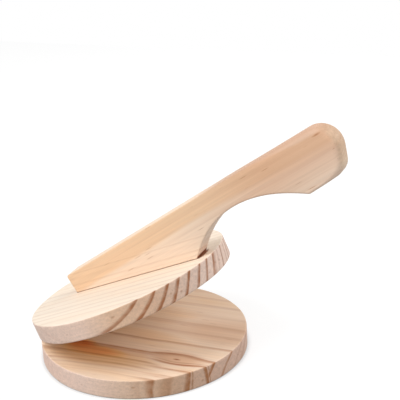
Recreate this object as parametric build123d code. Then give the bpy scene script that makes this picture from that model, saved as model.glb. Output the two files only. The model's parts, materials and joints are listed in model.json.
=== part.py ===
"""Dumpling wrapper press: two round pine boards and a knife-shaped handle standing on the upper one.

A ball of dough goes on the base board. The press board is lowered on it by the handle, tipping about
the point where the two rims touch, and leaves a round wrapper. The press is stored tipped open.

Millimetres. Origin at the centre of the base board's underside, +Z up, +X along the handle towards
its grip. Everything is symmetric about the XZ plane.
"""
from build123d import *
import math
import os

# Boards
BOARD_RADIUS = 65.0
BOARD_THICKNESS = 12.0
BOARD_EDGE_ROUND = 0.8

# Press, as it is held open: tipped about its rim, with a hair of air where the boards would touch
OPEN_ANGLE = 21.86
CLOSED_GAP = 0.3

# Handle, in the closed press's own X (from the board's axis) and height above the board's top face
HANDLE_THICKNESS = 15.0
FOOT_START = (-35.5, 0.0)
FOOT_END = (56.0, 0.0)
NOSE_TOP = (-36.9, 12.6)
THROAT = (78.5, 19.2)
BELLY_TOP = (107.0, 25.2)
UNDER_CORNER = (138.8, 17.9)
THROAT_RISE_ANGLE = 52.0
BELLY_FALL_ANGLE = -21.0
GRIP_END_LOW = (162.5, 24.0)
GRIP_END_HIGH = (169.5, 56.6)
NOSE_ROUND = 2.5
UNDER_CORNER_ROUND = 3.0
GRIP_END_LOW_ROUND = 9.0
GRIP_END_HIGH_ROUND = 13.0
HANDLE_EDGE_ROUND = 2.0

# Countersunk wood screws, driven up through the press board into the handle's foot
SCREW_PLACES_X = (-8.0, 38.0)
SCREW_LENGTH = 25.0
SCREW_HEAD_RADIUS = 4.0
SCREW_SHANK_RADIUS = 2.0
SCREW_THREAD_RADIUS = 1.8
SCREW_HEAD_HEIGHT = 2.4
SCREW_TIP_LENGTH = 3.5
SCREW_HOLE_RADIUS = 2.2
SCREW_SINK = 0.5
SCREW_SINK_RADIUS = 4.1
CROSS_SLOT_LENGTH = 4.4
CROSS_SLOT_WIDTH = 0.9
CROSS_SLOT_DEPTH = 1.4

PRESS_BOTTOM = BOARD_THICKNESS + CLOSED_GAP
PRESS_TOP = PRESS_BOTTOM + BOARD_THICKNESS
TILT_AXIS = Axis((-BOARD_RADIUS, 0, BOARD_THICKNESS + CLOSED_GAP / 2), (0, -1, 0))


def board(bottom):
    """A round board lying flat, both arrises eased."""
    disc = Pos(0, 0, bottom) * extrude(Circle(BOARD_RADIUS), BOARD_THICKNESS)
    return fillet(disc.edges(), BOARD_EDGE_ROUND)


def tip_open(shape):
    """Turn a piece of the closed press to where the press is held open."""
    return shape.rotate(TILT_AXIS, OPEN_ANGLE)


def direction(angle):
    """A unit vector in the handle's side view."""
    return (math.cos(math.radians(angle)), math.sin(math.radians(angle)))


def rounded(face, place, radius):
    """Round the one corner of a flat face that lies at a place."""
    corner = face.vertices().sort_by_distance(Vector(*place))[0]
    return fillet(corner, radius)


def handle_side():
    """The handle seen from the side: a straight back, a blunt nose, an arched throat and a grip."""
    throat = Spline(
        [FOOT_END, THROAT, BELLY_TOP, UNDER_CORNER],
        tangents=[direction(THROAT_RISE_ANGLE), direction(BELLY_FALL_ANGLE)],
    )
    outline = [
        Line(FOOT_START, FOOT_END),
        throat,
        Line(UNDER_CORNER, GRIP_END_LOW),
        Line(GRIP_END_LOW, GRIP_END_HIGH),
        Line(GRIP_END_HIGH, NOSE_TOP),
        Line(NOSE_TOP, FOOT_START),
    ]
    face = make_face(outline)
    face = rounded(face, NOSE_TOP, NOSE_ROUND)
    face = rounded(face, UNDER_CORNER, UNDER_CORNER_ROUND)
    face = rounded(face, GRIP_END_LOW, GRIP_END_LOW_ROUND)
    return rounded(face, GRIP_END_HIGH, GRIP_END_HIGH_ROUND)


def handle_blank():
    """The side view sawn from a plank, with every edge eased except round the foot."""
    plank = extrude(handle_side(), HANDLE_THICKNESS / 2, both=True)
    upright = Pos(0, 0, PRESS_TOP) * Rot(90, 0, 0) * plank
    outline_edges = [
        edge
        for side in (-1, 1)
        for edge in upright.edges().filter_by_position(
            Axis.Y, side * HANDLE_THICKNESS / 2 - 0.01, side * HANDLE_THICKNESS / 2 + 0.01
        )
        if edge.center().Z > PRESS_TOP + 0.01
    ]
    return fillet(outline_edges, HANDLE_EDGE_ROUND)


def screw(x):
    """One countersunk screw standing head down, its thread drawn as a plain cylinder."""
    head_face = PRESS_BOTTOM + SCREW_SINK
    neck = head_face + SCREW_HEAD_HEIGHT
    tip = head_face + SCREW_LENGTH
    profile = Polyline(
        (0, head_face),
        (SCREW_HEAD_RADIUS, head_face),
        (SCREW_SHANK_RADIUS, neck),
        (SCREW_SHANK_RADIUS, PRESS_TOP),
        (SCREW_THREAD_RADIUS, PRESS_TOP),
        (SCREW_THREAD_RADIUS, tip - SCREW_TIP_LENGTH),
        (0, tip),
        close=True,
    )
    body = revolve(make_face(Plane.XZ * profile), Axis.Z)
    for turn in (0, 90):
        slot = Box(CROSS_SLOT_LENGTH, CROSS_SLOT_WIDTH, 2 * CROSS_SLOT_DEPTH)
        body -= Pos(0, 0, head_face) * Rot(0, 0, turn) * slot
    return Pos(x, 0, 0) * body


def screw_way(x):
    """What one screw takes out of the press board: a clearance hole and a sunk, slightly wide cone."""
    head_face = PRESS_BOTTOM + SCREW_SINK
    below = PRESS_BOTTOM - 1
    head_length_per_radius = SCREW_HEAD_HEIGHT / (SCREW_HEAD_RADIUS - SCREW_SHANK_RADIUS)
    cone_end = head_face + (SCREW_SINK_RADIUS - SCREW_HOLE_RADIUS) * head_length_per_radius
    profile = Polyline(
        (0, below),
        (SCREW_SINK_RADIUS, below),
        (SCREW_SINK_RADIUS, head_face),
        (SCREW_HOLE_RADIUS, cone_end),
        (SCREW_HOLE_RADIUS, PRESS_TOP + 1),
        (0, PRESS_TOP + 1),
        close=True,
    )
    return Pos(x, 0, 0) * revolve(make_face(Plane.XZ * profile), Axis.Z)


def base_board():
    """The lower board, which stands on the table."""
    return board(0)


def press_board():
    """The upper board, bored for the screws that hold the handle."""
    bored = board(PRESS_BOTTOM)
    for x in SCREW_PLACES_X:
        bored -= screw_way(x)
    return tip_open(bored)


def handle():
    """The handle, with the holes that the screws cut in its foot."""
    cut = handle_blank()
    for x in SCREW_PLACES_X:
        cut -= screw(x)
    return tip_open(cut)


def handle_screws():
    """The screws, as one group."""
    return Compound([tip_open(screw(x)) for x in SCREW_PLACES_X])


NODES = {
    "base_board": base_board,
    "press_board": press_board,
    "handle": handle,
    "handle_screws": handle_screws,
}

os.makedirs("parts", exist_ok=True)
for name, make in NODES.items():
    export_step(make(), f"parts/{name}.step")
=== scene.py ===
"""Dumpling wrapper press in pine: the finished boards, handle and screws, and a studio to see them in.

Every piece is built shut, with the press lying on the base, and then tipped open about the rim.
"""
import json
import math

import bpy
import numpy as np
from bpy.props import FloatProperty, FloatVectorProperty, PointerProperty
from mathutils import Matrix, Vector
from mathutils.geometry import tessellate_polygon


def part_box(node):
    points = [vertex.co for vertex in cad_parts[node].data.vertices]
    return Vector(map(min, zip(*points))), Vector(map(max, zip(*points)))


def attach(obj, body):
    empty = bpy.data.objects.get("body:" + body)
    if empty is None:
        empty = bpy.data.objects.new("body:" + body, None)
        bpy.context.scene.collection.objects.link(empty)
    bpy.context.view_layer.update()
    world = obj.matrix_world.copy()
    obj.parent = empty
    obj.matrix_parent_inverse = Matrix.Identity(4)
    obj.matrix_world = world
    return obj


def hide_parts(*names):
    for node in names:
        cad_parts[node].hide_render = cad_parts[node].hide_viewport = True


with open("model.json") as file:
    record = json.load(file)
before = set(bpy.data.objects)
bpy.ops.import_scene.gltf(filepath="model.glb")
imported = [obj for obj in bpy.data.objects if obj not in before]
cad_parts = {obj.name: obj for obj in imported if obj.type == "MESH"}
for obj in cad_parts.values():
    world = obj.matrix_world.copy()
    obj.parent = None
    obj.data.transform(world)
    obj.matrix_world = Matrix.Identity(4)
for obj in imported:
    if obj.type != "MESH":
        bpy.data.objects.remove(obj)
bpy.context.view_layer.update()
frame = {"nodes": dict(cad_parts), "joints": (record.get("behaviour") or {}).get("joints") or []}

bl_info = {
    "name": "Dumpling wrapper press",
    "version": (1, 0, 0),
    "blender": (4, 5, 0),
    "location": "View3D > Sidebar > Press",
    "description": "Builds a pine dumpling wrapper press on its packed frame",
    "category": "Object",
}

MM = 0.001

# From the frame: the boards, the handle's thickness and the tilt joint
BASE_LOW, BASE_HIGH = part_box("base_board")
HANDLE_LOW, HANDLE_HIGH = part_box("handle")
TILT = next(joint for joint in frame["joints"] if joint["name"] == "press_tilt")
BOARD_RADIUS = (BASE_HIGH.y - BASE_LOW.y) / 2 / MM
BOARD_THICKNESS = (BASE_HIGH.z - BASE_LOW.z) / MM
HANDLE_THICKNESS = (HANDLE_HIGH.y - HANDLE_LOW.y) / MM
OPEN_ANGLE = -math.radians(TILT["range_deg"][0])
PIVOT = np.array(TILT["pos_m"]) / MM
CLOSED_GAP = 2 * (PIVOT[2] - BOARD_THICKNESS)
PRESS_BOTTOM = BOARD_THICKNESS + CLOSED_GAP
PRESS_TOP = PRESS_BOTTOM + BOARD_THICKNESS
PRESS_UP = (-math.sin(OPEN_ANGLE), 0.0, math.cos(OPEN_ANGLE))

# The boards' meshes: points round a ring, the radii of the rings on their faces, the gap between one more
# ring and the rounded edge, and points round that edge and down the wall
BOARD_COLUMNS = 360
FACE_RADII = (8.0, 20.0, 32.0, 44.0, 54.0, 60.0)
FACE_MARGIN = 0.3
EDGE_POINTS = 9
WALL_POINTS = 7
# How unevenly the boards' rims were sanded: waves round the rim, and the depth of each
SANDING_WAVES = (3, 7, 12)
SANDING_DEPTH = 0.05
BASE_SEED = 4
PRESS_SEED = 9
SHARP_ANGLE = 40.0

# The screws' holes in the press board's underside: radius and height at the sink and its cone, as the CAD
# model has them, and at a blind end, where the CAD model's hole runs on, hidden by its screw
SCREW_PLACES_X = (-8.0, 38.0)
SCREW_HOLE = ((4.1, 0.0), (4.1, 0.5), (2.2, 2.78), (2.2, 6.0), (0.05, 6.0))
SCREW_COLUMNS = 48

# The handle's side view, in millimetres: the shut press's X, and height above the press board
FOOT_START = (-35.5, 0.0)
FOOT_END = (56.0, 0.0)
THROAT = (78.5, 19.2)
BELLY_TOP = (107.0, 25.2)
UNDER_CORNER = (138.8, 17.9)
GRIP_END_LOW = (162.5, 24.0)
GRIP_END_HIGH = (169.5, 56.6)
NOSE_TOP = (-37.9, 12.6)
THROAT_RISE_ANGLE = 52.0
BELLY_FALL_ANGLE = -21.0
NOSE_ROUND = 1.6
UNDER_CORNER_ROUND = 2.6
GRIP_END_LOW_ROUND = 9.0
GRIP_END_HIGH_ROUND = 13.0
OUTLINE_STEP = 0.8
SECTION_POINTS = 8
# Where the handle's edges change: the X over which they grow from the blade's round to the grip's, how far
# under its back the smaller round under the grip begins, the X over which that one ends, and the height
# over which the foot's round ends
GRIP_ROUND_X = (92.0, 128.0)
UNDER_ROUND_DEPTH = (8.0, 15.0)
UNDER_ROUND_END_X = (148.0, 163.0)
FOOT_ROUND_HEIGHT = (0.0, 3.0)
HANDLE_SLOPE = OPEN_ANGLE + math.atan2(GRIP_END_HIGH[1] - NOSE_TOP[1], GRIP_END_HIGH[0] - NOSE_TOP[0])

# The camera: fitted to the outlines of the boards and the handle in the 400 by 400 pixel photograph
PHOTO_SIZE = 400
FOCAL_PIXELS = 1051.7
SENSOR_WIDTH = 36.0
CAMERA_PLACE = (278.92, -527.87, 321.01)
CAMERA_AIM = (23.56, 44.79, 84.88)
CAMERA_ROLL = 3.225
CAMERA_CLIP = (0.05, 20.0)

# The studio, in metres and watts: the floor's half-width, and square lamps by name, place and power
FLOOR_REACH = 0.8
LAMP_SIZE = 0.7
LAMP_AIM = (0.0, 0.0, 0.03)
LAMPS = (
    ("key_lamp", (-0.55, -0.65, 1.1), 10.4),
    ("front_lamp", (0.35, -1.2, 0.6), 2.6),
    ("back_lamp", (0.8, 0.6, 0.9), 7.0),
)
SKY_STRENGTH = 0.5
# How near to what stands on it the paper grows darker, in millimetres
CONTACT_REACH = 5.0


def linear(hex_colour):
    """An sRGB hex colour as a linear RGBA tuple."""
    channels = [int(hex_colour[i:i + 2], 16) / 255 for i in (1, 3, 5)]
    return tuple(c / 12.92 if c <= 0.04045 else ((c + 0.055) / 1.055) ** 2.4 for c in channels) + (1.0,)


# Sizes and colours a user would change

def round_property(name, description, millimetres):
    """The radius of an edge, which a user can change, with its default in millimetres."""
    return FloatProperty(
        name=name, description=description, default=millimetres * MM, min=0.1 * MM, unit="LENGTH")


class PressSizes(bpy.types.PropertyGroup):
    """How far the edges are eased"""
    board_edge: round_property("Board edge round", "Radius of the boards' eased edges", 0.8)
    blade_edge: round_property("Blade edge round", "Radius of the handle's edges over its foot", 1.0)
    grip_edge: round_property("Grip edge round", "Radius of the handle's edges round the grip", 4.2)
    under_edge: round_property("Grip underside round", "Radius of the handle's edges under the grip", 1.6)
    foot_edge: round_property("Foot edge round", "Radius of the handle's edges along its foot", 0.8)


def colour_property(name, description, hex_colour):
    """A colour a user can change, with its sRGB hex default."""
    return FloatVectorProperty(
        name=name, description=description, default=linear(hex_colour)[:3], size=3, min=0, max=1,
        subtype="COLOR")


class PressColours(bpy.types.PropertyGroup):
    """Colours of the wood, the painted shade at the handle's foot, and the screws"""
    base_early: colour_property("Base early wood", "Pale wood on the base board's flat faces", "#F0D6BE")
    base_cut: colour_property("Base rim", "Pale wood where the base board was cut across", "#EED5C4")
    base_late: colour_property("Base late wood", "Dark lines of the base board's growth rings", "#AE7750")
    press_early: colour_property("Press early wood", "Pale wood on the press board's flat faces", "#F3E4D2")
    press_cut: colour_property("Press rim", "Pale wood where the press board was cut across", "#ECD1C1")
    press_late: colour_property("Press late wood", "Dark lines of the press board's growth rings", "#A66D49")
    handle_early: colour_property("Handle early wood", "Pale wood on the handle's sides", "#F8E1CC")
    handle_cut: colour_property("Handle end wood", "Pale wood where the handle was cut across", "#E8D2B8")
    handle_late: colour_property("Handle late wood", "Dark lines of the handle's growth rings", "#B98458")
    # The colour of the painted shade in the joint at the handle's foot and on the press board behind it
    joint_shade: colour_property("Glue", "The squeezed-out, dried glue at the handle's foot", "#86481F")
    plating: colour_property("Screw plating", "The zinc plating of the screws", "#C9CBCC")


# Shapes

def tip_open(points):
    """Points of the shut press in millimetres, turned about the tilt axis to where the press is held."""
    x, y, z = (points - PIVOT).T
    c, s = math.cos(OPEN_ANGLE), math.sin(OPEN_ANGLE)
    return np.stack([x * c - z * s, y, x * s + z * c], 1) + PIVOT


def grid_quads(rows, columns, first=0):
    """Quads between rows of points that each close on themselves, row after row."""
    i, j = np.meshgrid(np.arange(rows - 1) * columns + first, np.arange(columns), indexing="ij")
    k = (j + 1) % columns
    return np.stack([i + j, i + k, i + columns + k, i + columns + j], -1).reshape(-1, 4)


def pole_fan(pole, ring):
    """Triangles from a pole to each step of the ring of points about it."""
    return np.stack([np.full(len(ring), pole), ring, np.roll(ring, -1)], 1)


def filled(points, loops, outward):
    """Triangles that fill the first loop of points, but no loop inside it, turned to face outward."""
    index = np.concatenate(loops)
    flat = index[np.array(tessellate_polygon([[Vector(p) for p in points[loop]] for loop in loops]))]
    a, b, c = points[flat].transpose(1, 0, 2)
    away = np.cross(b - a, c - a) @ outward < 0
    flat[away] = flat[away, ::-1]
    return flat


def piece(name, points, faces, body, material, replaced):
    """A finished piece: points in millimetres and arrays of faces, at the origin, riding on its body."""
    mesh = bpy.data.meshes.new(name)
    mesh.from_pydata((points * MM).tolist(), [], [face for array in faces for face in array.tolist()])
    mesh.validate()
    mesh.shade_smooth()
    mesh.set_sharp_from_angle(angle=math.radians(SHARP_ANGLE))
    mesh.materials.append(material)
    thing = bpy.data.objects.new(name, mesh)
    bpy.context.scene.collection.objects.link(thing)
    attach(thing, body)
    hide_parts(replaced)


def board_profile(edge):
    """Half of a board's section, from near the top's centre to near the bottom's, with round edges.

    Radius and height are (R - e + e sin a, T - e + e cos a) round the upper edge, mirrored below.
    """
    inner, upper = BOARD_RADIUS - edge, BOARD_THICKNESS - edge
    radii = np.array([*FACE_RADII, inner - FACE_MARGIN])
    face = np.stack([radii, np.full(len(radii), BOARD_THICKNESS)], 1)
    turn = np.linspace(0, math.pi / 2, EDGE_POINTS)
    arc = np.stack([inner + edge * np.sin(turn), upper + edge * np.cos(turn)], 1)
    top = np.concatenate([face, arc])
    heights = np.linspace(upper, edge, WALL_POINTS)[1:-1]
    wall = np.stack([np.full(len(heights), BOARD_RADIUS), heights], 1)
    return np.concatenate([top, wall, top[::-1] * (1, -1) + (0, BOARD_THICKNESS)])


def board_rings(edge, seed):
    """The profile turned about Z, as rings of points, its rim a little uneven from sanding.

    Radius r becomes r + w(a) where r is near the rim, with w a sum of three slow sines of the angle, less
    its most.
    """
    random = np.random.default_rng(seed)
    angle = np.linspace(0, 2 * math.pi, BOARD_COLUMNS, endpoint=False)
    waves = sum(np.sin(n * angle + random.uniform(0, 2 * math.pi)) for n in SANDING_WAVES)
    profile = board_profile(edge)
    near_rim = np.clip((profile[:, 0] - BOARD_RADIUS + 2 * edge) / (2 * edge), 0, 1)
    radius = profile[:, :1] + near_rim[:, None] * SANDING_DEPTH * (waves - len(SANDING_WAVES))
    height = np.repeat(profile[:, 1:], BOARD_COLUMNS, 1)
    return np.stack([radius * np.cos(angle), radius * np.sin(angle), height], -1)


def solid_board(edge, seed):
    """A whole board: rings from pole to pole, both poles closed by a fan."""
    rings = board_rings(edge, seed)
    rows, columns = rings.shape[:2]
    points = np.concatenate([rings.reshape(-1, 3), [[0, 0, BOARD_THICKNESS], [0, 0, 0]]])
    top, bottom = rows * columns, rows * columns + 1
    ring = np.arange(columns)
    return points, [grid_quads(rows, columns)[:, ::-1], pole_fan(top, ring), pole_fan(bottom, top - 1 - ring)]


def screw_hole(x):
    """One screw's hole in the underside: the points (x + r cos a, r sin a, h) for its radii and heights."""
    angle = np.linspace(0, 2 * math.pi, SCREW_COLUMNS, endpoint=False)
    radius, height = (np.array(column)[:, None] for column in zip(*SCREW_HOLE))
    rings = np.stack([x + radius * np.cos(angle), radius * np.sin(angle), height + 0 * angle], -1)
    return rings.reshape(-1, 3)


def bored_board(edge, seed):
    """A board with screw holes below: rings from the top's pole to the underside, then a face with holes."""
    rings = board_rings(edge, seed)[:-len(FACE_RADII)]
    rows, columns = rings.shape[:2]
    top = rows * columns
    ring = np.arange(columns)
    around = np.arange(SCREW_COLUMNS)
    points = [rings.reshape(-1, 3), [[0, 0, BOARD_THICKNESS]]]
    faces = [grid_quads(rows, columns)[:, ::-1], pole_fan(top, ring)]
    loops = [top - columns + ring]
    first = top + 1
    for x in SCREW_PLACES_X:
        points.append(screw_hole(x))
        faces.append(grid_quads(len(SCREW_HOLE), SCREW_COLUMNS, first)[:, ::-1])
        loops.append(first + around)
        first += len(SCREW_HOLE) * SCREW_COLUMNS
        faces.append((first - 1 - around)[None])
    points = np.concatenate(points)
    return points, [*faces, filled(points, loops, (0, 0, -1))]


def spline_through(places, start_angle, end_angle, count):
    """A smooth cubic through places: tangents solve the C2 condition, ends leave at the given angles.

    On each span, p = h00 p0 + h10 d m0 + h01 p1 + h11 d m1 with the Hermite cubics h and span d.
    """
    p = np.array(places, float)
    d = np.linalg.norm(np.diff(p, axis=0), axis=1)
    n = len(p)
    system = np.eye(n)
    right = np.zeros((n, 2))
    right[0] = [math.cos(math.radians(start_angle)), math.sin(math.radians(start_angle))]
    right[-1] = [math.cos(math.radians(end_angle)), math.sin(math.radians(end_angle))]
    for i in range(1, n - 1):
        system[i, i - 1:i + 2] = [1 / d[i - 1], 2 / d[i - 1] + 2 / d[i], 1 / d[i]]
        right[i] = 3 * ((p[i] - p[i - 1]) / d[i - 1] ** 2 + (p[i + 1] - p[i]) / d[i] ** 2)
    m = np.linalg.solve(system, right)
    t = np.linspace(0, 1, count)[:, None]
    spans = [
        (2 * t**3 - 3 * t**2 + 1) * p[i] + (t**3 - 2 * t**2 + t) * d[i] * m[i]
        + (3 * t**2 - 2 * t**3) * p[i + 1] + (t**3 - t**2) * d[i] * m[i + 1]
        for i in range(n - 1)
    ]
    return np.concatenate([spans[0]] + [span[1:] for span in spans[1:]])


def corner_arc(before, corner, after, radius, count=10):
    """The arc that rounds one corner, tangent to the lines to its neighbours.

    Its centre lies on their bisector, r / sin(half the corner's angle) away, and a point is the sum of the
    arc's ends, from the centre, times the sines of the angles from the far one, over the whole angle's sine.
    """
    before, corner, after = (np.array(v, float) for v in (before, corner, after))
    u = (before - corner) / np.linalg.norm(before - corner)
    v = (after - corner) / np.linalg.norm(after - corner)
    half = math.acos(np.clip(u @ v, -1, 1)) / 2
    centre = corner + (u + v) / np.linalg.norm(u + v) * radius / math.sin(half)
    start = corner + u * radius / math.tan(half) - centre
    end = corner + v * radius / math.tan(half) - centre
    sweep = math.acos(np.clip(start @ end / radius**2, -1, 1))
    t = np.linspace(0, 1, count)[:, None]
    return centre + (start * np.sin((1 - t) * sweep) + end * np.sin(t * sweep)) / math.sin(sweep)


def even_steps(line):
    """A line resampled at even steps of its length, ends kept."""
    length = np.concatenate([[0], np.cumsum(np.linalg.norm(np.diff(line, axis=0), axis=1))])
    count = int(math.ceil(length[-1] / OUTLINE_STEP)) + 1
    at = np.linspace(0, length[-1], count)
    return np.stack([np.interp(at, length, line[:, i]) for i in (0, 1)], 1)


def handle_outline():
    """The handle's side view as one closed line in even steps, and the index where its foot begins."""
    arch = spline_through(
        [FOOT_END, THROAT, BELLY_TOP, UNDER_CORNER], THROAT_RISE_ANGLE, BELLY_FALL_ANGLE, count=40)
    reach = np.linalg.norm(arch - np.array(UNDER_CORNER), axis=1)
    line = np.concatenate([
        arch[reach > UNDER_CORNER_ROUND],
        corner_arc(arch[-2], UNDER_CORNER, GRIP_END_LOW, UNDER_CORNER_ROUND),
        corner_arc(UNDER_CORNER, GRIP_END_LOW, GRIP_END_HIGH, GRIP_END_LOW_ROUND, count=16),
        corner_arc(GRIP_END_LOW, GRIP_END_HIGH, NOSE_TOP, GRIP_END_HIGH_ROUND, count=24),
        corner_arc(GRIP_END_HIGH, NOSE_TOP, FOOT_START, NOSE_ROUND),
        [FOOT_START],
    ])
    upper = even_steps(line)
    foot = even_steps(np.array([FOOT_START, FOOT_END]))
    return np.concatenate([upper[:-1], foot[:-1]]), len(upper) - 1


def smooth_step(low, high, value):
    """0 below low and 1 above high, easing in between."""
    t = np.clip((value - low) / (high - low), 0, 1)
    return t * t * (3 - 2 * t)


def handle_surface(blade_edge, grip_edge, under_edge, foot_edge):
    """The handle: a rounded section carried round the outline, and the two flat sides.

    At each outline point p with inward normal n and edge radius r, the section is
    (p + n r (1 - sin a), T/2 - r (1 - cos a)) for a from 0 to 90 degrees, mirrored across the middle.
    """
    outline, foot_first = handle_outline()
    x, height = outline.T
    ahead = np.roll(outline, -1, 0) - outline
    ahead /= np.linalg.norm(ahead, axis=1)[:, None]
    behind = np.roll(ahead, 1, 0)
    inward = np.stack([-(ahead + behind)[:, 1], (ahead + behind)[:, 0]], 1)
    inward /= (1 + (ahead * behind).sum(1))[:, None]
    back = np.interp(x, (NOSE_TOP[0], GRIP_END_HIGH[0]), (NOSE_TOP[1], GRIP_END_HIGH[1]))
    under = smooth_step(*UNDER_ROUND_DEPTH, back - height) * (1 - smooth_step(*UNDER_ROUND_END_X, x))
    grip = grip_edge + (under_edge - grip_edge) * under
    radius = blade_edge + (grip - blade_edge) * smooth_step(*GRIP_ROUND_X, x)
    lift = np.where(np.arange(len(outline)) >= foot_first, 0, height)
    radius = foot_edge + (radius - foot_edge) * smooth_step(*FOOT_ROUND_HEIGHT, lift)
    turn = np.linspace(0, math.pi / 2, SECTION_POINTS)[:, None]
    inset = radius * (1 - np.sin(turn))
    depth = HANDLE_THICKNESS / 2 - radius * (1 - np.cos(turn))
    inset = np.concatenate([inset, np.repeat(inset[-1:], 3, 0), inset[::-1]])
    across = np.concatenate([depth, depth[-1:] * [[0.5], [0.0], [-0.5]], -depth[::-1]])
    flat = outline + inward * inset[..., None]
    points = np.stack([flat[..., 0], across, PRESS_TOP + flat[..., 1]], -1).reshape(-1, 3)
    rows, columns = across.shape
    loop = np.arange(columns)
    sides = [filled(points, [loop], (0, 1, 0)), filled(points, [(rows - 1) * columns + loop], (0, -1, 0))]
    return points, [grid_quads(rows, columns), *sides]


# Materials

def add(tree, kind, inputs=None, stops=(), **settings):
    """Add a node with its settings; its inputs, by name or number, take constants, sockets or nodes."""
    node = tree.nodes.new("ShaderNode" + kind)
    for key, value in settings.items():
        setattr(node, key, value)
    for key, value in (inputs or {}).items():
        named = (socket for socket in node.inputs if socket.name == key and socket.enabled)
        socket = node.inputs[key] if isinstance(key, int) else next(named)
        if isinstance(value, bpy.types.Node):
            value = next(out for out in value.outputs if out.enabled)
        if isinstance(value, bpy.types.NodeSocket):
            tree.links.new(value, socket)
        else:
            socket.default_value = value
    if stops:
        elements = node.color_ramp.elements
        for element, (position, colour) in zip(elements, (stops[0], stops[-1])):
            element.position, element.color = position, colour
        for position, colour in stops[1:-1]:
            elements.new(position).color = colour
    return node


def new_material(name):
    """An empty node material and its tree."""
    material = bpy.data.materials.new(name)
    material.use_nodes = True
    material.node_tree.nodes.clear()
    return material, material.node_tree


def grey(value):
    """A grey as a linear colour."""
    return (value, value, value, 1.0)


def times(colour, other):
    """Two linear colours multiplied."""
    return tuple(a * b for a, b in zip(colour, other))


def ramp(tree, value, stops):
    """A number that runs straight between stops of (value, number)."""
    low, high = stops[0][0], stops[-1][0]
    least = min(number for place, number in stops)
    most = max(number for place, number in stops)
    along = add(tree, "MapRange", {"Value": value, "From Min": low, "From Max": high})
    share = add(tree, "ValToRGB", {0: along}, [
        ((place - low) / (high - low), grey((number - least) / (most - least))) for place, number in stops])
    return add(tree, "MapRange", {"Value": share, "To Min": least, "To Max": most})


def drawn_out(tree, kind, grain, size, inputs=None, **settings):
    """A texture drawn out along the grain, by its size in millimetres along, across and through the wood."""
    cells = add(tree, "Mapping", {"Vector": grain, "Scale": tuple(1 / length for length in size)})
    return add(tree, kind, {"Vector": cells, "Scale": 1.0, **(inputs or {})}, **settings)


def wander(tree, grain, size, reach, seed):
    """The grain frame, bent by slow noise of a size and reach in millimetres."""
    noise = drawn_out(tree, "TexNoise", grain, size, {"W": seed, "Detail": 3.0}, noise_dimensions="4D")
    off = add(tree, "VectorMath", {0: noise.outputs["Color"], 1: (0.5, 0.5, 0.5)}, operation="SUBTRACT")
    return add(tree, "VectorMath", {0: off, 1: (reach, reach, reach), 2: grain}, operation="MULTIPLY_ADD")


def nearness(tree, place, centre, reach):
    """How near a place is to a centre: 1 there, falling evenly to 0 at the half-lengths reach."""
    off = add(tree, "VectorMath", {0: place, 1: centre}, operation="SUBTRACT")
    share = add(tree, "VectorMath", {0: off, 1: reach}, operation="DIVIDE")
    away = add(tree, "VectorMath", {0: share}, operation="LENGTH")
    return add(tree, "MapRange", {"Value": away, "To Min": 1.0, "To Max": 0.0})


# How dark a line of late wood is across its width, as shares of its width and of its strength
LINE_SHAPE = ((-0.7, 0.0), (-0.25, 0.75), (0.15, 1.0), (0.4, 0.0))
# A colour ramp holds 32 stops, two of them its ends, so the last of eight lines goes without its last two
# and fades out slowly
RAMP_LINES = 8
RAMP_STOPS = 32


def late_wood(tree, distance, lines):
    """How dark the late wood is, from 0 to 1, at a distance in millimetres across the growth rings.

    Each line is (place, strength, width): it darkens over most of its width and ends sharply, as a
    year's growth does.
    """
    depth = None
    for first in range(0, len(lines), RAMP_LINES):
        group = lines[first:first + RAMP_LINES]
        low = group[0][0] - group[0][2] - 1
        high = group[-1][0] + group[-1][2] + 1
        stops = sorted(((place + offset * width - low) / (high - low), grey(strength * share))
                       for place, strength, width in group for offset, share in LINE_SHAPE)
        stops = [(0.0, grey(0)), *stops[:RAMP_STOPS - 2], (1.0, grey(0))]
        along = add(tree, "MapRange", {"Value": distance, "From Min": low, "From Max": high})
        dark = add(tree, "ValToRGB", {0: along}, stops)
        depth = dark if depth is None else add(tree, "Math", {0: depth, 1: dark}, operation="MAXIMUM")
    return depth


# Late wood is given as lines of (place, strength, width), in millimetres across the growth rings. Slow
# drifts of the grain are (size along, across and through the wood), reach and seed.
# The press board's pith, which lies outside the plank: across the plank, and above its top face
PRESS_PITH = (-150.0, 72.0)
PRESS_DRIFT = ((70.0, 18.0, 18.0), 2.2, 7.0)
# Late wood of the press board, across its top face
PRESS_LINES = (
    (-53.6, 1.1, 2.0), (-46.2, 1.2, 2.1), (-39.4, 1.2, 2.2), (-33.0, 1.0, 2.5), (-25.6, 1.1, 2.3),
    (-17.3, 1.0, 2.3), (-10.3, 0.9, 2.2), (-2.9, 1.2, 2.3), (3.4, 0.3, 2.0), (9.5, 0.8, 2.3),
    (16.5, 0.4, 2.3), (22.5, 0.7, 2.3), (28.5, 0.6, 2.5), (34.7, 0.7, 2.5), (41.1, 0.7, 2.5),
    (48.0, 0.8, 2.5), (54.7, 0.8, 2.5), (60.4, 0.8, 2.5))

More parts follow.
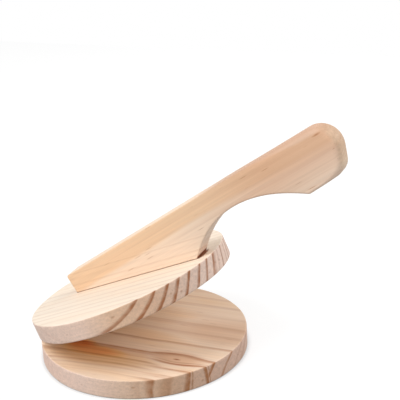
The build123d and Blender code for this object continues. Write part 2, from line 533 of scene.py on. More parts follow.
# Late wood of the base board, as places across the plank at half its depth: upright rings near its
# front edge, which differ between its left and right, and slanting ones over the rest
BASE_DRIFT = ((60.0, 20.0, 20.0), 3.0, 3.0)
BASE_UPRIGHT_LEFT = (
    (-60.5, 0.1, 2.0), (-56.5, 0.2, 2.6), (-53.6, 0.15, 2.0), (-49.6, 0.4, 2.2), (-45.6, 0.6, 2.8),
    (-41.9, 0.35, 1.6), (-38.4, 0.8, 3.0), (-32.6, 0.6, 3.4), (-28.9, 0.9, 3.6))
BASE_UPRIGHT_RIGHT = (
    (-60.1, 0.45, 1.6), (-57.0, 1.0, 2.5), (-51.6, 0.5, 5.2), (-42.4, 1.1, 3.6), (-40.2, 0.7, 1.2),
    (-32.2, 1.3, 2.3), (-30.5, 0.6, 1.0))
BASE_SLANTING = (
    (-30.5, 1.25, 3.0), (-17.9, 0.85, 3.2), (-3.4, 0.35, 4.2), (7.7, 0.4, 7.0), (20.5, 0.2, 3.6),
    (34.5, 0.35, 4.0), (45.0, 0.4, 3.4), (54.0, 0.5, 3.4))
# Where, along the plank, the left ones give way to the right ones, and across it, to the slanting ones
BASE_CHANGE = (16.0, 36.0)
BASE_MEETING = (-32.2, -30.8)
# The left ones arch: the places along the plank of the arch's crown and of where they have fallen back by
# the millimetres given, for places across the plank
BASE_CROWN = (10.0, 45.0)
BASE_ARCHES = ((-46.0, 2.0), (-40.0, 0.4))
# How the rings lean, in millimetres sideways for each of depth, at places across the plank
BASE_LEANS = (
    (-70.0, 0.0), (-58.0, 0.0), (-53.2, 0.22), (-48.0, 0.18), (-42.0, 0.16), (-38.0, 0.0), (-34.0, -0.14),
    (-20.0, -0.14))
BASE_SLANTS = ((-27.0, 0.58), (-21.0, 0.75), (-13.0, 1.12), (-4.0, 1.15), (2.0, 1.15), (60.0, 1.0))
# A pin knot in the base board's top: the half-lengths of its dark heart and of where it bends the rings,
# how dark it is, and how far it pushes them aside
BASE_KNOT = (36.0, -30.2, 0.0)
BASE_KNOT_HEART = (3.0, 1.0, 2.5)
BASE_KNOT_BEND = (20.0, 12.0, 8.0)
BASE_KNOT_DARK = 2.0
BASE_KNOT_PUSH = -0.9
# Patches of the base board's top: centre, half-lengths and warmth, and how near the centre a patch is whole.
# The first three, orange, are painted warm shade under the press board's low side; the last two make the top
# browner about its knot and to its right, partly as the wood's colour and partly as painted shadow
BASE_PATCHES_AND_SHADE = (
    ((-12.0, -41.0, 0.0), (50.0, 13.0, 12.0), 0.52), ((-18.0, -34.5, 0.0), (28.0, 8.0, 12.0), 0.85),
    ((-31.0, -29.0, 0.0), (16.0, 7.0, 12.0), 1.0), ((60.0, 9.0, 0.0), (55.0, 26.0, 24.0), 0.16),
    ((36.0, -29.0, 0.0), (25.0, 12.0, 12.0), 0.1))
PATCH_WHOLE = 0.7

# Late wood of the handle, as depths below its back, and in the blade's lower part, where the rings run
# level with the foot, as heights above it; and the heights over which these give way to the others
HANDLE_DRIFT = ((90.0, 16.0, 16.0), 4.0, 12.0)
HANDLE_RINGS = (
    (-9.0, 0.3, 3.0), (-2.5, 0.25, 3.0), (3.5, 0.3, 3.6), (8.8, 0.25, 3.2), (13.2, 0.45, 3.0),
    (17.0, 0.12, 2.0), (19.2, 0.35, 1.6), (21.4, 0.4, 1.2), (23.6, 0.3, 1.6), (27.4, 0.35, 1.4),
    (31.0, 0.15, 2.4), (36.0, 0.1, 2.0))
HANDLE_FOOT_RINGS = (
    (-6.0, 0.3, 2.0), (1.4, 0.35, 1.2), (4.2, 0.6, 1.5), (8.2, 0.25, 2.4), (11.6, 0.7, 1.1), (13.4, 0.3, 1.6))
HANDLE_FOOT_FADE = (15.0, 11.0)
# How each family leans, in millimetres for each of the handle's thickness
HANDLE_LEAN = 0.25
HANDLE_FOOT_LEAN = 0.15
# A small knot at the top of the grip's end: its centre from the nose, its half-lengths and its darkness
HANDLE_KNOT = ((197.0, -7.5, -4.8), (3.6, 4.0, 0.8))
HANDLE_KNOT_DARK = 3.0
# The orange layer under the handle's back, as stops along the grain from the nose: the depths of its two
# sides, how deep the lower one fades, and how orange the layer is; and how deep the upper one fades
HANDLE_ORANGE = ((0.0, -3.0, 12.5, 3.0, 1.0), (100.0, -3.0, 10.0, 3.0, 1.0), (185.0, 4.2, 9.5, 8.0, 0.7))
HANDLE_ORANGE_FADE = -1.5
# How orange the handle is below that layer, along the grain
HANDLE_PLAIN = ((90.0, 0.22), (145.0, 0.34), (185.0, 0.12))
# A warmth of 0 is brown, this is plain wood, and 1 is orange: the handle's orange layer, or the painted warm
# shade under the press board
PLAIN_WARMTH = 0.3

# The grip, along the grain from the nose, where a painted shadow darkens the wood, and less so low on the
# grip, by height over its back's line
GRIP_SHADOW_X = (95.0, 165.0)
GRIP_PAINTED_SHADOW = "#F1E2D9"
GRIP_SHADOW_LOWER = ((-27.0, 0.35), (-17.0, 1.0))
# Its rounded back, which faces up, where the painted shadow is darkest
GRIP_BACK_SHADOW_X = (104.0, 132.0)
GRIP_BACK_PAINTED_SHADOW = "#E6DED9"
# Painted shade in the joint at the handle's foot: how dark it is at heights over the press board, as a line
# all round, and reaching higher on wood that was cut across
JOINT_LINE_SHADE = ((0.24, 0.75), (0.8, 0.0))
JOINT_END_SHADE = ((1.14, 0.95), (1.9, 0.0))
# Painted shade on the press board behind the handle's foot, under its throat: its centre, its half-lengths
# and how dark it is
PRESS_JOINT_SHADE = ((56.8, 0.0, 0.0), (3.0, 9.5, 1.5))
PRESS_JOINT_SHADE_DARK = 0.9

# Patterns in the wood, by their size in millimetres along the grain, across it and through the plank:
# slow changes of warmth, blotches in the growth rings, fibres, broader streaks, the spacing of resin
# canals and of torn spots, and the speckle of open pores. Real fibres are 0.04 mm across and canals
# 0.1 mm, too fine to show, so both are drawn coarser.
WARMTH_SIZE = (83.3, 16.7, 16.7)
BLOTCH_SIZE = (16.7, 3.33, 3.33)
FIBRE_SIZE = (33.3, 0.5, 0.5)
STREAK_SIZE = (66.7, 1.54, 1.54)
CANAL_SIZE = (29.4, 2.0, 2.0)
TORN_SIZE = (14.3, 7.7, 6.25)
PORE_SIZE = (1.667, 1.667, 1.667)
# How rough sanded pine is between and on its fibres, and their relief in millimetres, coarser as they are
SANDED_ROUGHNESS = (0.52, 0.72)
FIBRE_RELIEF = 0.12
# A cloud in the zinc, in millimetres, which stands for its crystals: they are too fine to show
PLATING_CLOUD = 0.83


def press_rings(tree, grain):
    """Growth rings of the press board: cylinders about its pith."""
    bent = wander(tree, grain, *PRESS_DRIFT)
    across = add(tree, "VectorMath", {0: bent, 1: (0, 1, 1), 2: (0, -PRESS_PITH[0], -PRESS_PITH[1])},
                 operation="MULTIPLY_ADD")
    distance = add(tree, "VectorMath", {0: across}, operation="LENGTH")
    return late_wood(tree, distance, [
        (math.hypot(place - PRESS_PITH[0], PRESS_PITH[1]), *line) for place, *line in PRESS_LINES])


def base_rings(tree, grain):
    """Growth rings of the base board: the darkest of its upright and slanting families and its knot."""
    bent = wander(tree, grain, *BASE_DRIFT)
    near = nearness(tree, bent, BASE_KNOT, BASE_KNOT_BEND)
    push = add(tree, "Math", {0: near, 1: BASE_KNOT_PUSH}, operation="MULTIPLY")
    off = add(tree, "VectorMath", {0: bent, 1: BASE_KNOT}, operation="SUBTRACT")
    bent = add(tree, "VectorMath", {0: off, 1: push, 2: bent}, operation="MULTIPLY_ADD")
    part = add(tree, "SeparateXYZ", {"Vector": bent})
    x, y = part.outputs["X"], part.outputs["Y"]
    height = add(tree, "Math", {0: part.outputs["Z"], 1: BOARD_THICKNESS / 2}, operation="ADD")
    slant = add(tree, "Math", {0: ramp(tree, y, BASE_SLANTS), 1: height}, operation="MULTIPLY")
    slanted = add(tree, "Math", {0: y, 1: slant}, operation="SUBTRACT")
    side = add(tree, "MapRange", {"Value": y, "From Min": BASE_MEETING[0], "From Max": BASE_MEETING[1]})
    slanting = add(tree, "Math", {0: late_wood(tree, slanted, BASE_SLANTING), 1: side}, operation="MULTIPLY")
    lean = add(tree, "Math", {0: ramp(tree, y, BASE_LEANS), 1: height}, operation="MULTIPLY")
    leaned = add(tree, "Math", {0: y, 1: lean}, operation="SUBTRACT")
    fall = add(tree, "MapRange", {"Value": x, "From Min": BASE_CROWN[0], "From Max": BASE_CROWN[1]},
               clamp=False)
    fall = add(tree, "Math", {0: fall, 1: fall}, operation="MULTIPLY")
    arched = add(tree, "Math", {0: fall, 1: ramp(tree, y, BASE_ARCHES), 2: y}, operation="MULTIPLY_ADD")
    change = add(tree, "MapRange", {"Value": x, "From Min": BASE_CHANGE[0], "From Max": BASE_CHANGE[1]},
                 interpolation_type="SMOOTHSTEP")
    upright = add(tree, "Mix", {
        "Factor": change, "A": late_wood(tree, arched, BASE_UPRIGHT_LEFT),
        "B": late_wood(tree, leaned, BASE_UPRIGHT_RIGHT)}, data_type="FLOAT")
    heart = nearness(tree, grain, BASE_KNOT, BASE_KNOT_HEART)
    knot = add(tree, "Math", {0: heart, 1: BASE_KNOT_DARK}, operation="MULTIPLY")
    both = add(tree, "Math", {0: slanting, 1: upright}, operation="MAXIMUM")
    return add(tree, "Math", {0: both, 1: knot}, operation="MAXIMUM")


def board_warmth(tree, grain):
    """Slow patches of warmer wood in a board."""
    return add(tree, "MapRange", {
        "Value": drawn_out(tree, "TexNoise", grain, WARMTH_SIZE), "From Min": 0.42, "From Max": 0.68,
        "To Min": PLAIN_WARMTH, "To Max": 0.42})


def base_warmth_and_shade(tree, grain):
    """How orange or brown the base board's wood is: slow changes, and patches that fade at their edges, some
    of them painted shade.
    """
    warmth = board_warmth(tree, grain)
    for centre, reach, patch in BASE_PATCHES_AND_SHADE:
        near = nearness(tree, grain, centre, reach)
        inside = add(tree, "MapRange", {"Value": near, "From Max": PATCH_WHOLE},
                     interpolation_type="SMOOTHSTEP")
        warmth = add(tree, "Mix", {"Factor": inside, "A": warmth, "B": patch}, data_type="FLOAT")
    return warmth


def handle_depth(tree, grain):
    """Depth below the handle's back, in millimetres, with the grain's slow drift."""
    part = add(tree, "SeparateXYZ", {"Vector": wander(tree, grain, *HANDLE_DRIFT)})
    return add(tree, "Math", {0: part.outputs["Z"], 1: -1.0}, operation="MULTIPLY")


def handle_rings(tree, grain):
    """Growth rings of the handle: under its back and, where the two families meet, over its foot."""
    across = add(tree, "SeparateXYZ", {"Vector": grain}).outputs["Y"]
    depth = add(tree, "Math", {0: across, 1: HANDLE_LEAN, 2: handle_depth(tree, grain)},
                operation="MULTIPLY_ADD")
    rise = HANDLE_SLOPE - OPEN_ANGLE
    up = (math.sin(rise), HANDLE_FOOT_LEAN, math.cos(rise))
    lift = add(tree, "VectorMath", {0: grain, 1: up}, operation="DOT_PRODUCT")
    lift = add(tree, "Math", {0: lift, 1: NOSE_TOP[1]}, operation="ADD")
    low = add(tree, "MapRange", {
        "Value": lift, "From Min": HANDLE_FOOT_FADE[0], "From Max": HANDLE_FOOT_FADE[1]})
    over_foot = add(tree, "Math", {0: late_wood(tree, lift, HANDLE_FOOT_RINGS), 1: low}, operation="MULTIPLY")
    high = add(tree, "Math", {0: 1.0, 1: low}, operation="SUBTRACT")
    under_back = add(tree, "Math", {0: late_wood(tree, depth, HANDLE_RINGS), 1: high}, operation="MULTIPLY")
    both = add(tree, "Math", {0: under_back, 1: over_foot}, operation="MAXIMUM")
    near = nearness(tree, grain, *HANDLE_KNOT)
    knot = add(tree, "Math", {0: near, 1: HANDLE_KNOT_DARK}, operation="MULTIPLY")
    return add(tree, "Math", {0: both, 1: knot}, operation="MAXIMUM")


def handle_warmth(tree, grain):
    """How orange the handle's wood is: a layer under its back, seen mostly on its sides."""
    along = add(tree, "SeparateXYZ", {"Vector": grain}).outputs["X"]
    depth = handle_depth(tree, grain)
    upper, lower, fade, most = (
        ramp(tree, along, [(stop[0], stop[column]) for stop in HANDLE_ORANGE]) for column in (1, 2, 3, 4))
    above = add(tree, "Math", {0: upper, 1: HANDLE_ORANGE_FADE}, operation="ADD")
    below = add(tree, "Math", {0: lower, 1: fade}, operation="ADD")
    from_top = add(tree, "MapRange", {"Value": depth, "From Min": above, "From Max": upper})
    from_bottom = add(tree, "MapRange", {"Value": depth, "From Min": below, "From Max": lower})
    layer = add(tree, "Math", {0: from_top, 1: from_bottom}, operation="MINIMUM")
    layer = add(tree, "Math", {0: layer, 1: most}, operation="MULTIPLY")
    warmth = add(tree, "Math", {0: layer, 1: ramp(tree, along, HANDLE_PLAIN)}, operation="MAXIMUM")
    sideways = add(tree, "SeparateXYZ", {"Vector": add(tree, "TexCoord").outputs["Normal"]}).outputs["Y"]
    sideways = add(tree, "Math", {0: sideways}, operation="ABSOLUTE")
    on_side = add(tree, "MapRange", {"Value": sideways, "From Min": 0.3, "From Max": 0.95, "To Min": 0.25})
    warmth = add(tree, "Math", {0: warmth, 1: on_side}, operation="MULTIPLY")
    return add(tree, "MapRange", {"Value": warmth, "To Min": PLAIN_WARMTH, "To Max": 1.0})


def handle_painted_shade(tree, where, grain, cut, colour, joint_shade_colour):
    """The handle's colour with painted shade: a shadow over the grip, darkest on its back, and shade in the
    joint at its foot.
    """
    part = add(tree, "SeparateXYZ", {"Vector": grain})
    # Painted shadow over the grip, darkest on its rounded back, which faces up
    backward = add(tree, "VectorMath", {
        0: where.outputs["Normal"], 1: (-math.sin(HANDLE_SLOPE), 0, math.cos(HANDLE_SLOPE))},
        operation="DOT_PRODUCT")
    backward = add(tree, "MapRange", {"Value": backward, "From Min": 0.1, "From Max": 0.8})
    lower = ramp(tree, part.outputs["Z"], GRIP_SHADOW_LOWER)
    grip_shadows = ((GRIP_SHADOW_X, lower, GRIP_PAINTED_SHADOW), (GRIP_BACK_SHADOW_X, backward, GRIP_BACK_PAINTED_SHADOW))
    for (start, end), share, shade in grip_shadows:
        hand_shadow = add(tree, "MapRange", {"Value": part.outputs["X"], "From Min": start, "From Max": end},
                   interpolation_type="SMOOTHSTEP")
        hand_shadow = add(tree, "Math", {0: hand_shadow, 1: share}, operation="MULTIPLY")
        colour = add(tree, "Mix", {"Factor": hand_shadow, "A": colour, "B": linear(shade)}, data_type="RGBA",
                     blend_type="MULTIPLY")
    # Painted shade in the joint at the foot: a dark line all round, reaching higher on the cut ends
    up = Vector(PRESS_UP)
    foot = Vector(tip_open(np.array([[0, 0, PRESS_TOP]]))[0])
    height = add(tree, "VectorMath", {0: where.outputs["Object"], 1: tuple(up / MM)},
                 operation="DOT_PRODUCT")
    height = add(tree, "Math", {0: height, 1: up.dot(foot)}, operation="SUBTRACT")
    end_wood = add(tree, "MapRange", {"Value": cut, "From Max": 0.3})
    end_shade = add(tree, "Math", {0: ramp(tree, height, JOINT_END_SHADE), 1: end_wood}, operation="MULTIPLY")
    joint_shade = add(tree, "Math", {0: ramp(tree, height, JOINT_LINE_SHADE), 1: end_shade}, operation="MAXIMUM")
    return add(tree, "Mix", {"Factor": joint_shade, "A": colour, "B": joint_shade_colour}, data_type="RGBA")


def press_painted_shade(tree, where, grain, cut, colour, joint_shade_colour):
    """The press board's colour with painted shade behind the handle's foot."""
    # Painted shade on the press board behind the handle's foot
    near = nearness(tree, grain, *PRESS_JOINT_SHADE)
    joint_shade = add(tree, "MapRange", {"Value": near, "From Max": 0.5, "To Max": PRESS_JOINT_SHADE_DARK},
               interpolation_type="SMOOTHSTEP")
    return add(tree, "Mix", {"Factor": joint_shade, "A": colour, "B": joint_shade_colour}, data_type="RGBA")


# Each piece's wood, sawn and then sanded, with no finish. grain gives its growth rings and warmth, and the
# other function, if any, paints shade on it: a shadow over the handle's grip, and shade in the joint at the
# handle's foot and on the press board behind it. flat is the tint of early wood on flat faces, by warmth; rim
# is the tint of what was cut across, as stops along the grain in millimetres. cut is how much a surface faces
# the board's top, or the handle's ends, where it starts and ends to count as cut across. rings is how far the
# growth rings show on flat faces, then on cut ones before and after the stretch rim_change of the grain.
# late_flat is one more tint of the late wood on flat faces. streaks and flecks are how far fibres and resin
# canals show.
# To the eye, the base board has broad brown bands and a knot on a pinkish rim, with painted warm orange shade
# under the press board.
BASE_WOOD = {
    "grain": (base_rings, base_warmth_and_shade), "painted_shade": None, "cut": (0.95, 0.5), "late_flat": "#FFEAD6",
    # Its warmest tint, at 1, is the painted warm shade under the press board
    "flat": ((0.0, "#E3C6AD"), (0.3, "#FFFFFF"), (0.6, "#FFE8BC"), (1.0, "#FCB370")),
    "rim": ((-60.0, "#FAF1F0"), (-10.0, "#FFFBFB"), (22.0, "#F2E8DB"), (38.0, "#EAD9C4"), (66.0, "#EEE1DB")),
    "rings": (0.62, 0.15, 1.0), "rim_change": (8.0, 24.0), "streaks": 0.05, "flecks": 0.45,
}
# The press board is paler, with faint fine lines on its top and strong slanting ones along its rim's right
PRESS_WOOD = {
    "grain": (press_rings, board_warmth), "painted_shade": press_painted_shade, "cut": (0.95, 0.5),
    "late_flat": "#FFFFFF", "flat": ((0.3, "#FFFFFF"), (1.0, "#FFEBD2")),
    "rim": ((-60.0, "#FDFDFF"), (0.0, "#FDFAF7"), (22.0, "#F4E8D4"), (44.0, "#F0E2D0"), (62.0, "#FFFFFF")),
    "rings": (0.17, 0.1, 1.0), "rim_change": (4.0, 20.0), "streaks": 0.06, "flecks": 0.45,
}
# The handle is straight-grained and warmer, soft orange under its back, with short dark resin dashes
HANDLE_WOOD = {
    "grain": (handle_rings, handle_warmth), "painted_shade": handle_painted_shade, "cut": (0.35, 0.85),
    "late_flat": "#FFFFFF", "flat": ((0.3, "#FFFFFF"), (1.0, "#F7E7D2")),
    "rim": ((0.0, "#F6EAF1"), (90.0, "#F6EAF1"), (150.0, "#F8F4F7"), (200.0, "#FFFFFF")),
    "rings": (0.3, 0.35, 0.35), "rim_change": (0.0, 1.0), "streaks": 0.04, "flecks": 0.62,
}


def pine(name, wood, colours, place, slope, direction):
    """Pine, sawn and sanded, bare: to the eye a dull, warm wood, silky on its faces and rougher where cut.

    It has pale early wood, darker late wood that ends sharply, fine fibres, dashes of resin canals, and pores
    and torn spots where it was cut across, and on some pieces painted shade. colours are early wood, wood cut
    across, late wood and the painted shade in the joint at the handle's foot. place is the grain frame's
    origin in millimetres and slope its tilt about Y. direction is the one that wood["cut"] is measured along.
    """
    material, tree = new_material(name)
    early, cut_early, late, joint_shade = ((*colour, 1.0) for colour in colours)
    rings, warmth = wood["grain"]
    turn = Matrix.Rotation(slope, 3, "Y")
    where = add(tree, "TexCoord")
    grain = add(tree, "Mapping", {
        "Vector": where.outputs["Object"], "Location": tuple(-(turn @ Vector(place))),
        "Rotation": (0, slope, 0), "Scale": (1 / MM, 1 / MM, 1 / MM)}, vector_type="POINT")
    along = add(tree, "SeparateXYZ", {"Vector": grain}).outputs["X"]
    facing = add(tree, "VectorMath", {0: where.outputs["Normal"], 1: direction}, operation="DOT_PRODUCT")
    facing = add(tree, "Math", {0: facing}, operation="ABSOLUTE")
    cut = add(tree, "MapRange", {"Value": facing, "From Min": wood["cut"][0], "From Max": wood["cut"][1]},
              interpolation_type="SMOOTHSTEP")
    flat = add(tree, "ValToRGB", {0: warmth(tree, grain)},
               [(at, times(early, linear(tint))) for at, tint in wood["flat"]])
    low, high = wood["rim"][0][0], wood["rim"][-1][0]
    rim = add(tree, "MapRange", {"Value": along, "From Min": low, "From Max": high})
    rim = add(tree, "ValToRGB", {0: rim},
              [((at - low) / (high - low), times(cut_early, linear(tint))) for at, tint in wood["rim"]])
    colour = add(tree, "Mix", {"Factor": cut, "A": flat, "B": rim}, data_type="RGBA")
    # Growth rings, blotchy along their lines, and as warm on flat faces as the wood round them
    on_face, before, after = wood["rings"]
    change_from, change_to = wood["rim_change"]
    on_cut = add(tree, "MapRange", {
        "Value": along, "From Min": change_from, "From Max": change_to, "To Min": before, "To Max": after},
        interpolation_type="SMOOTHSTEP")
    showing = add(tree, "MapRange", {"Value": cut, "To Min": on_face, "To Max": on_cut})
    blotch = drawn_out(tree, "TexNoise", grain, BLOTCH_SIZE, {"Detail": 2.0})
    blotch = add(tree, "MapRange", {
        "Value": blotch, "From Min": 0.3, "From Max": 0.7, "To Min": 0.75, "To Max": 1.2})
    showing = add(tree, "Math", {0: showing, 1: blotch}, operation="MULTIPLY")
    depth = add(tree, "Math", {0: rings(tree, grain), 1: showing}, operation="MULTIPLY")
    darker = tuple(min(a / b, 1.0) for a, b in zip(times(late, linear(wood["late_flat"])), early))
    line = add(tree, "Mix", {"Factor": 1.0, "A": flat, "B": darker}, data_type="RGBA", blend_type="MULTIPLY")
    line = add(tree, "Mix", {"Factor": cut, "A": line, "B": late}, data_type="RGBA")
    colour = add(tree, "Mix", {"Factor": depth, "A": colour, "B": line}, data_type="RGBA")
    # Fibres and streaks, lighter and darker along the grain
    fibre = drawn_out(tree, "TexNoise", grain, FIBRE_SIZE, {"Detail": 2.0})
    streak = drawn_out(tree, "TexNoise", grain, STREAK_SIZE, {"Detail": 1.0})
    both = add(tree, "Math", {0: fibre, 1: streak}, operation="ADD")
    shade = add(tree, "MapRange", {
        "Value": both, "From Min": 0.75, "From Max": 1.25, "To Min": 1 - wood["streaks"],
        "To Max": 1 + wood["streaks"]})
    colour = add(tree, "Mix", {"Factor": 1.0, "A": colour, "B": shade}, data_type="RGBA",
                 blend_type="MULTIPLY")
    # Resin canals: dark dashes up to 0.5 mm across and 7 mm long; and torn spots, one or two millimetres
    # across, where the wood was cut across
    canal = drawn_out(tree, "TexVoronoi", grain, CANAL_SIZE)
    fleck = add(tree, "MapRange", {
        "Value": canal, "From Min": 0.12, "From Max": 0.06, "To Max": wood["flecks"]})
    torn = drawn_out(tree, "TexVoronoi", grain, TORN_SIZE)
    torn = add(tree, "MapRange", {"Value": torn, "From Min": 0.14, "From Max": 0.04, "To Max": 0.5})
    torn = add(tree, "Math", {0: torn, 1: cut}, operation="MULTIPLY")
    fleck = add(tree, "Math", {0: fleck, 1: torn}, operation="MAXIMUM")
    colour = add(tree, "Mix", {"Factor": fleck, "A": colour, "B": late}, data_type="RGBA")
    # What was cut across is rougher: speckle of open pores
    pores = drawn_out(tree, "TexNoise", grain, PORE_SIZE, {"Detail": 4.0, "Roughness": 0.8})
    pitted = add(tree, "MapRange", {
        "Value": pores, "From Min": 0.35, "From Max": 0.65, "To Min": 0.9, "To Max": 1.08})
    speckle = add(tree, "Mix", {"Factor": cut, "A": 1.0, "B": pitted}, data_type="FLOAT")
    colour = add(tree, "Mix", {"Factor": 1.0, "A": colour, "B": speckle}, data_type="RGBA",
                 blend_type="MULTIPLY")
    # Painted shade: a shadow over the handle's grip, and shade in the joint at its foot and on the press
    # board behind it
    if wood["painted_shade"]:
        colour = wood["painted_shade"](tree, where, grain, cut, colour, joint_shade)
    height = add(tree, "Math", {0: depth, 1: 0.3, 2: fibre}, operation="MULTIPLY_ADD")
    bump = add(tree, "Bump", {"Height": height, "Strength": 0.3, "Distance": FIBRE_RELIEF * MM})
    smooth, rough = SANDED_ROUGHNESS
    roughness = add(tree, "MapRange", {"Value": fibre, "To Min": smooth, "To Max": rough})
    surface = add(tree, "BsdfPrincipled", {
        "Base Color": colour, "Roughness": roughness, "Normal": bump, "Specular IOR Level": 0.3})
    add(tree, "OutputMaterial", {"Surface": surface})
    return material


def zinc_plated_steel(plating):
    """Screw steel, electroplated with zinc: to the eye a pale metal, faintly blue, with a blurred shine."""
    material, tree = new_material("zinc_plated_steel")
    cloud = add(tree, "TexNoise", {
        "Vector": add(tree, "TexCoord").outputs["Object"], "Scale": 1 / (PLATING_CLOUD * MM), "Detail": 2.0})
    rough = add(tree, "MapRange", {"Value": cloud, "To Min": 0.28, "To Max": 0.42})
    surface = add(tree, "BsdfPrincipled", {
        "Base Color": (*plating, 1.0), "Metallic": 1.0, "Roughness": rough})
    add(tree, "OutputMaterial", {"Surface": surface})
    return material


def seen_directly(tree):
    """1 for rays from the camera, in a mirror or through glass, else 0."""
    path = add(tree, "LightPath")
    either = add(tree, "Math", {0: path.outputs["Is Camera Ray"], 1: path.outputs["Is Glossy Ray"]},
                 operation="MAXIMUM")
    return add(tree, "Math", {0: either, 1: path.outputs["Is Transmission Ray"]}, operation="MAXIMUM")


def white_paper():
    """Seamless paper, pressed and uncoated: to the eye plain matt white, with soft shadows and no shine.

    It glows up to white where it is seen, and less near what stands on it, so that the object's foot is
    seen to touch the paper.
    """
    material, tree = new_material("uncoated_white_paper")
    paper = add(tree, "BsdfDiffuse", {"Color": linear("#9C9C9C")})
    open_to_light = add(tree, "AmbientOcclusion", {"Distance": CONTACT_REACH * MM}, samples=8).outputs["AO"]
    glow = add(tree, "MapRange", {"Value": open_to_light, "From Max": 0.8, "To Max": 0.72})
    glow = add(tree, "Math", {0: seen_directly(tree), 1: glow}, operation="MULTIPLY")
    both = add(tree, "AddShader", {0: paper, 1: add(tree, "Emission", {"Strength": glow})})
    add(tree, "OutputMaterial", {"Surface": both})
    return material


# Pieces

class MakeBaseBoard(bpy.types.Operator):
    """Build the base board, the lower round of pine that lies on the table"""
    bl_idname = "wrapper_press.make_base_board"
    bl_label = "Base board"

    def execute(self, context):
        colours = context.scene.wrapper_press_colours
        points, faces = solid_board(context.scene.wrapper_press_sizes.board_edge / MM, BASE_SEED)
        material = pine(
            "sanded_pine_base", BASE_WOOD,
            (colours.base_early, colours.base_cut, colours.base_late, colours.joint_shade),
            (0, 0, BOARD_THICKNESS), 0.0, (0, 0, 1))
        piece("base_board_pine", points, faces, "base", material, "base_board")
        return {"FINISHED"}


class MakePressBoard(bpy.types.Operator):
    """Build the press board, the upper round of pine, with the screws' holes below"""
    bl_idname = "wrapper_press.make_press_board"
    bl_label = "Press board"

    def execute(self, context):
        colours = context.scene.wrapper_press_colours
        points, faces = bored_board(context.scene.wrapper_press_sizes.board_edge / MM, PRESS_SEED)
        material = pine(
            "sanded_pine_press", PRESS_WOOD,
            (colours.press_early, colours.press_cut, colours.press_late, colours.joint_shade),
            tip_open(np.array([[0, 0, PRESS_TOP]]))[0], OPEN_ANGLE, PRESS_UP)
        points = tip_open(points + (0, 0, PRESS_BOTTOM))
        piece("press_board_pine", points, faces, "press", material, "press_board")
        return {"FINISHED"}


class MakeHandle(bpy.types.Operator):
    """Build the handle, cut like a broad knife and standing on the press board"""
    bl_idname = "wrapper_press.make_handle"
    bl_label = "Handle"

    def execute(self, context):
        sizes = context.scene.wrapper_press_sizes
        colours = context.scene.wrapper_press_colours
        points, faces = handle_surface(*(size / MM for size in (
            sizes.blade_edge, sizes.grip_edge, sizes.under_edge, sizes.foot_edge)))
        nose = tip_open(np.array([[NOSE_TOP[0], 0, PRESS_TOP + NOSE_TOP[1]]]))[0]
        material = pine(
            "sanded_pine_handle", HANDLE_WOOD,
            (colours.handle_early, colours.handle_cut, colours.handle_late, colours.joint_shade),
            nose, HANDLE_SLOPE, (math.cos(HANDLE_SLOPE), 0, math.sin(HANDLE_SLOPE)))
        piece("handle_pine", tip_open(points), faces, "press", material, "handle")
        return {"FINISHED"}


class FinishScrews(bpy.types.Operator):
    """Give the screws under the press board their zinc plating"""
    bl_idname = "wrapper_press.finish_screws"
    bl_label = "Handle screws"

    def execute(self, context):
        screws = frame["nodes"]["handle_screws"]
        screws.data.materials.clear()
        screws.data.materials.append(zinc_plated_steel(context.scene.wrapper_press_colours.plating))
        return {"FINISHED"}


# Stage

def hang(name, data, place, turn):
    """A camera or lamp in its place."""
    thing = bpy.data.objects.new(name, data)
    bpy.context.scene.collection.objects.link(thing)
    thing.location = place
    thing.rotation_mode = "QUATERNION"
    thing.rotation_quaternion = turn
    return thing


def place_camera():
    """The camera where the photograph was taken from."""
    data = bpy.data.cameras.new("camera")
    data.sensor_width = SENSOR_WIDTH
    data.lens = FOCAL_PIXELS / PHOTO_SIZE * SENSOR_WIDTH
    data.clip_start, data.clip_end = CAMERA_CLIP
    place, aim = Vector(CAMERA_PLACE) * MM, Vector(CAMERA_AIM) * MM
    roll = Matrix.Rotation(math.radians(-CAMERA_ROLL), 3, "Z").to_quaternion()
    turn = (aim - place).to_track_quat("-Z", "Y") @ roll
    bpy.context.scene.camera = hang("camera", data, place, turn)


def soft_lamp(name, place, power):
    """A square soft box aimed at the object's foot."""
    data = bpy.data.lights.new(name, "AREA")
    data.shape = "SQUARE"
    data.size = LAMP_SIZE
    data.energy = power
    hang(name, data, place, (Vector(LAMP_AIM) - Vector(place)).to_track_quat("-Z", "Y"))


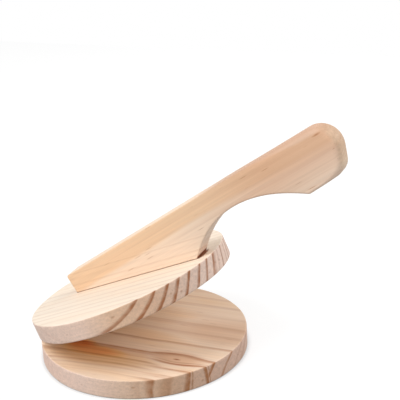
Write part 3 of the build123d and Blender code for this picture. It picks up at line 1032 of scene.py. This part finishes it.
class MakeStage(bpy.types.Operator):
    """Lay white paper, hang the soft lamps and place the camera"""
    bl_idname = "wrapper_press.make_stage"
    bl_label = "Studio"

    def execute(self, context):
        place_camera()
        mesh = bpy.data.meshes.new("floor")
        corners = [(x * FLOOR_REACH, y * FLOOR_REACH, 0) for x, y in ((-1, -1), (1, -1), (1, 1), (-1, 1))]
        mesh.from_pydata(corners, [], [(0, 1, 2, 3)])
        mesh.materials.append(white_paper())
        floor = bpy.data.objects.new("floor", mesh)
        context.scene.collection.objects.link(floor)
        for lamp in LAMPS:
            soft_lamp(*lamp)
        world = bpy.data.worlds.new("studio")
        context.scene.world = world
        world.use_nodes = True
        tree = world.node_tree
        tree.nodes.clear()
        strength = add(tree, "MapRange", {
            "Value": seen_directly(tree), "To Min": SKY_STRENGTH, "To Max": 1.0})
        sky = add(tree, "Background", {"Color": (1, 1, 1, 1), "Strength": strength})
        add(tree, "OutputWorld", {"Surface": sky})
        context.scene.view_settings.view_transform = "Standard"
        return {"FINISHED"}


class PressPanel(bpy.types.Panel):
    """The press's sizes, colours and pieces in the sidebar"""
    bl_idname = "VIEW3D_PT_wrapper_press"
    bl_label = "Wrapper press"
    bl_space_type = "VIEW_3D"
    bl_region_type = "UI"
    bl_category = "Press"

    def draw(self, context):
        for group in (context.scene.wrapper_press_sizes, context.scene.wrapper_press_colours):
            for name in type(group).__annotations__:
                self.layout.prop(group, name)
        for operator in OPERATORS:
            self.layout.operator(operator.bl_idname)


OPERATORS = (MakeStage, MakeBaseBoard, MakePressBoard, MakeHandle, FinishScrews)
CLASSES = (PressSizes, PressColours, *OPERATORS, PressPanel)


def register():
    """Register the classes and hang the sizes and colours on the scene."""
    for thing in CLASSES:
        bpy.utils.register_class(thing)
    bpy.types.Scene.wrapper_press_sizes = PointerProperty(type=PressSizes)
    bpy.types.Scene.wrapper_press_colours = PointerProperty(type=PressColours)


def unregister():
    """Undo register."""
    del bpy.types.Scene.wrapper_press_colours
    del bpy.types.Scene.wrapper_press_sizes
    for thing in reversed(CLASSES):
        bpy.utils.unregister_class(thing)


def main():
    register()
    bpy.ops.wrapper_press.make_stage()
    bpy.ops.wrapper_press.make_base_board()
    bpy.ops.wrapper_press.make_press_board()
    bpy.ops.wrapper_press.make_handle()
    bpy.ops.wrapper_press.finish_screws()


if __name__ == "__main__":
    main()
